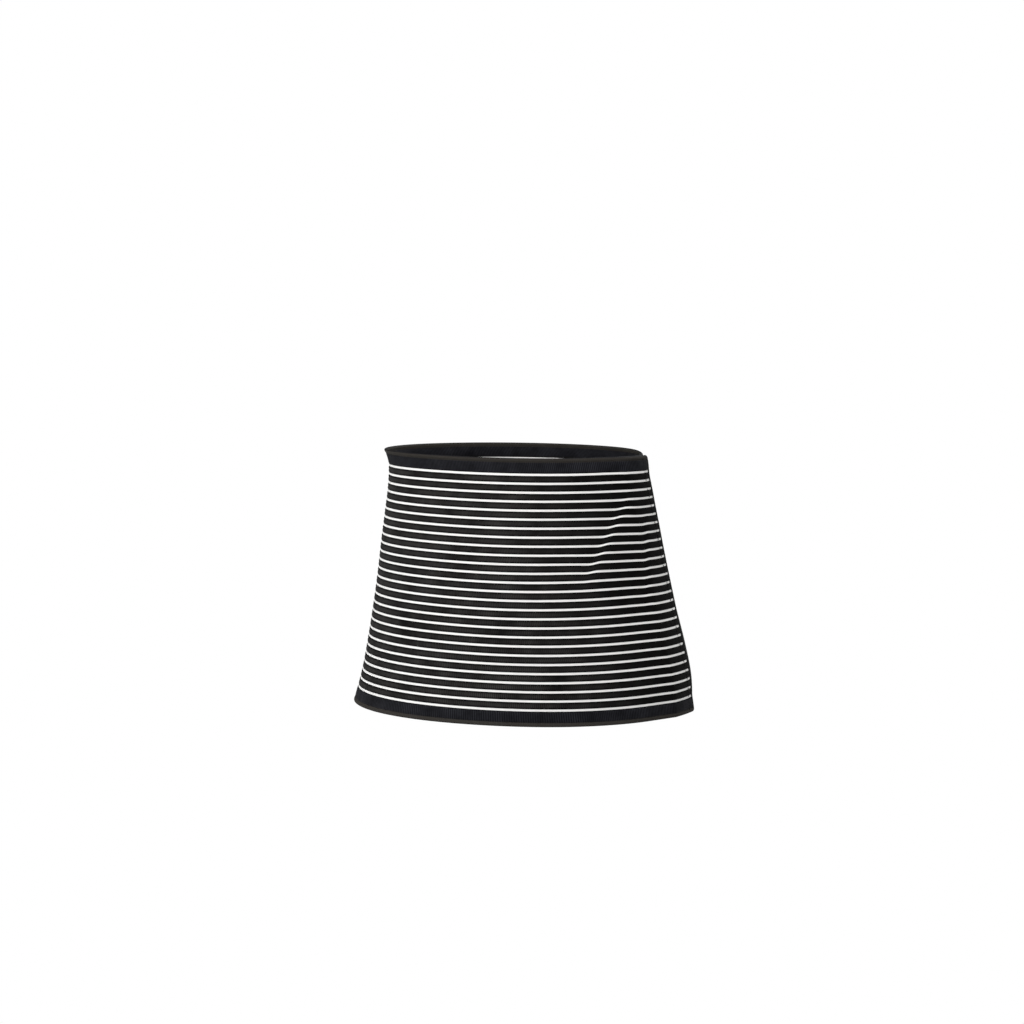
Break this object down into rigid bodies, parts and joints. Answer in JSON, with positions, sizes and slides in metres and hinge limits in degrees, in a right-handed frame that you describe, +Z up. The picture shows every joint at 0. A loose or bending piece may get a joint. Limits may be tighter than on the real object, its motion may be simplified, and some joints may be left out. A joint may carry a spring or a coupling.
{
  "type": "maternity support belt",
  "caption": "wide striped elastic belt, worn round the waist and hips and closed at the wearer's left side by a hook-and-loop tape",
  "frame": {"origin": "on the axis of the torso that the belt goes round, at half the height of the belt", "axes": "+X to the wearer's left, where the belt closes; the wearer faces -Y; +Z up along the torso"},
  "size_m": [0.3332, 0.2435, 0.244],
  "materials": {
    "striped_knit": "black elastic knit with raised ribs and thin white stripes in the grooves between them",
    "ribbed_hem": "dense black knit with fine upright ribs and a rolled rim, slightly bluish",
    "binding": "narrow woven black binding, matt",
    "hook_and_loop": "matt black hook-and-loop tape with a short loop pile"
  },
  "bodies": {
    "root": {"striped_panel": "striped_knit", "top_band": "ribbed_hem", "bottom_band": "ribbed_hem", "side_binding": "binding", "fastening_tape": "hook_and_loop"}
  },
  "joints": []
}
